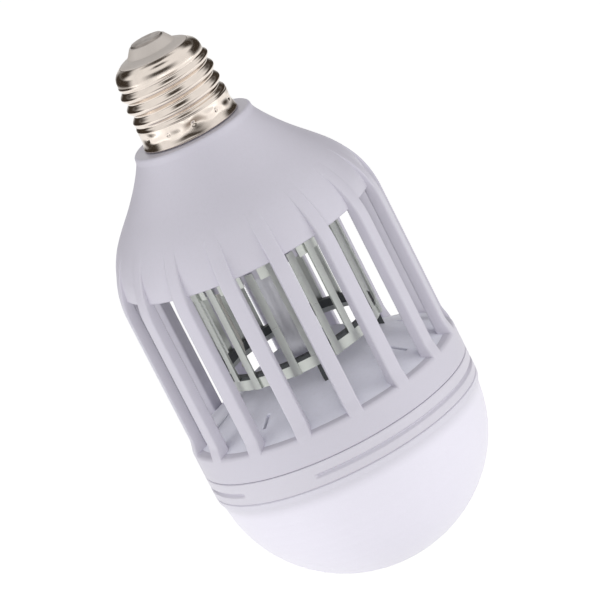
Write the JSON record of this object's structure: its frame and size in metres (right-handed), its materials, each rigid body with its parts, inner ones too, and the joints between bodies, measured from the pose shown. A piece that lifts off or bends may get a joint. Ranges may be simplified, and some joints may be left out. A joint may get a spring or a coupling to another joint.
{
  "type": "insect killer light bulb",
  "caption": "Screw-cap lamp with a ribbed cage round a high-voltage insect grid and a frosted globe of white light at its end.",
  "frame": {"origin": "on the axis, at the foot of the smooth skirt of the E27 screw shell", "axes": "+Z along the lamp's axis towards the screw cap, as the lamp hangs; X and Y point through the middle of two windows each"},
  "size_m": [0.0784, 0.0784, 0.1591],
  "materials": {
    "contact_metal": "dull nickel-plated",
    "insulator_plastic": "satin grey",
    "plated_shell": "warm bright nickel plate",
    "housing_plastic": "fine satin moulding",
    "deck_plastic": "fine satin moulding",
    "ring_plastic": "satin",
    "frosted_globe": "frosted white",
    "grid_metal": "bright strip",
    "dark_insulator": "matt black",
    "column_metal": "satin grey",
    "screw_steel": "zinc plated",
    "circuit_board": "green solder mask",
    "capacitor_sleeve": "dark sleeve",
    "film_capacitor": "dipped resin",
    "black_resin": "moulded resin",
    "ferrite": "pressed ferrite",
    "copper_wire": "enamelled wire",
    "resistor_coat": "lacquer",
    "red_lead": "soft insulation",
    "blue_lead": "soft insulation",
    "white_lead": "soft insulation",
    "heat_aluminium": "pressed sheet",
    "light_board": "white solder mask",
    "light_chip": "phosphor resin",
    "uv_lens": "clear resin lens"
  },
  "bodies": {
    "root": {"centre_contact": "contact_metal", "cap_insulator": "insulator_plastic", "screw_shell": "plated_shell", "cage_housing": "housing_plastic", "driver_cover": "housing_plastic", "cover_screws": "screw_steel", "driver_board": "circuit_board", "main_capacitor": "capacitor_sleeve", "film_capacitors": "film_capacitor", "rectifier_bridge": "black_resin", "inductor_core": "ferrite", "inductor_winding": "copper_wire", "voltage_diodes": "black_resin", "fuse_resistor": "resistor_coat", "driver_chip": "black_resin", "live_lead": "red_lead", "neutral_lead": "blue_lead", "upper_carrier": "housing_plastic", "grid_upper_ring": "grid_metal", "live_bars": "grid_metal", "neutral_bars": "grid_metal", "grid_lower_ring": "grid_metal", "lower_carrier": "dark_insulator", "wire_column": "column_metal", "uv_board": "light_board", "uv_lights": "uv_lens", "catch_deck": "deck_plastic", "light_leads": "white_lead", "grid_leads": "white_lead", "heat_plate": "heat_aluminium", "light_board": "light_board", "light_chips": "light_chip", "board_screws": "screw_steel", "base_ring": "ring_plastic", "globe": "frosted_globe"}
  },
  "joints": []
}
